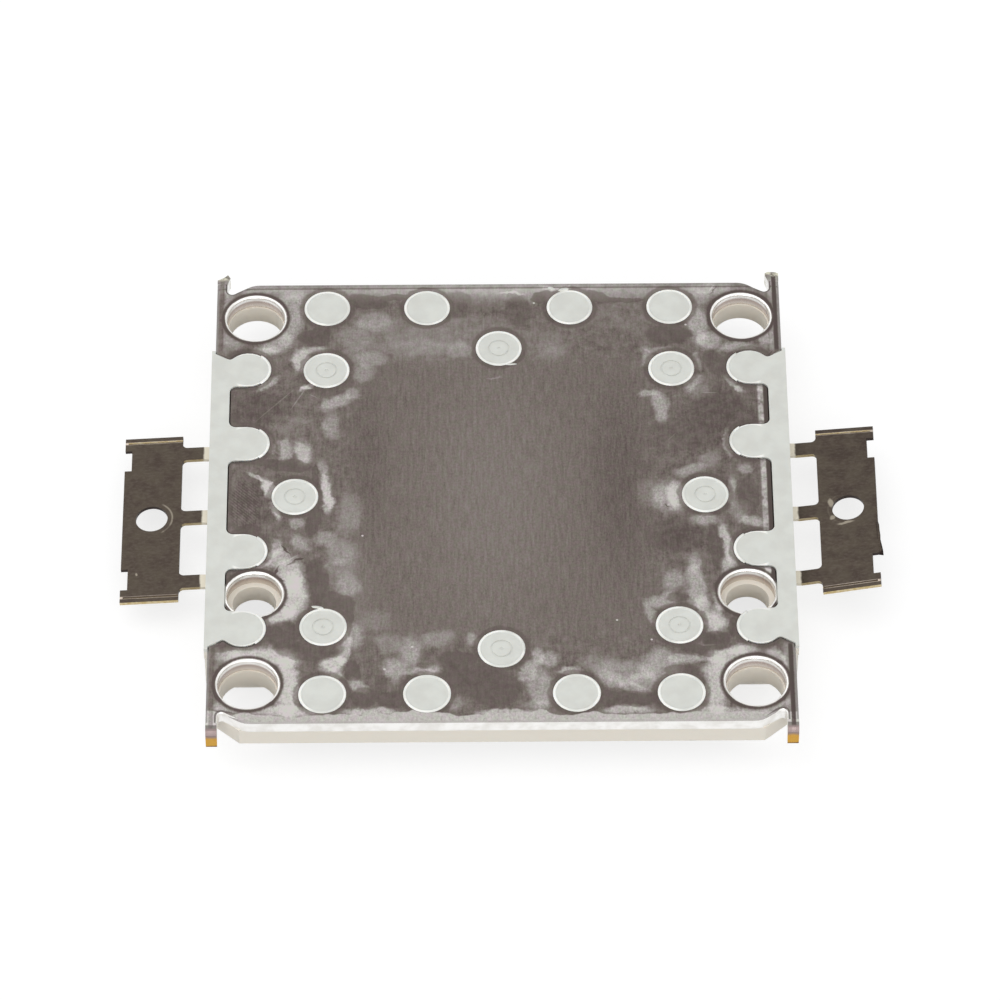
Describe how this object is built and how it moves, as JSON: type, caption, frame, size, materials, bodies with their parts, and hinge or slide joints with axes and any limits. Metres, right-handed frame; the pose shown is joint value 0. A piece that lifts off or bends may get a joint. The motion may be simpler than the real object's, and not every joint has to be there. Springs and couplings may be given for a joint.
{
  "type": "cob led module",
  "caption": "Square chip-on-board LED module: plated copper base plate in a white moulded frame, phosphor window, side terminals and screw holes for a heat sink.",
  "frame": {"origin": "centre of the flat back face of the base plate, the face that sits on the heat sink", "axes": "+Z out of the back face, X from terminal to terminal, +Y towards the end without the locating holes; light leaves towards -Z"},
  "size_m": [0.0518, 0.0407, 0.0043],
  "materials": {
    "silver_plate": "silver plated copper, fine grain, lightly tarnished",
    "white_plastic": "moulded high temperature polyamide",
    "terminal_metal": "tarnished plated brass sheet",
    "phosphor": "clear silicone filled with yellow phosphor",
    "die": "polished sapphire and nitride die",
    "bond_wire": "drawn gold wire"
  },
  "bodies": {
    "root": {"base_plate": "silver_plate", "frame": "white_plastic", "left_terminal": "terminal_metal", "right_terminal": "terminal_metal", "phosphor_gel": "phosphor", "die_row_1": "die", "die_row_2": "die", "die_row_3": "die", "die_row_4": "die", "die_row_5": "die", "bond_wires_1": "bond_wire", "bond_wires_2": "bond_wire", "bond_wires_3": "bond_wire", "bond_wires_4": "bond_wire", "bond_wires_5": "bond_wire"}
  },
  "joints": []
}
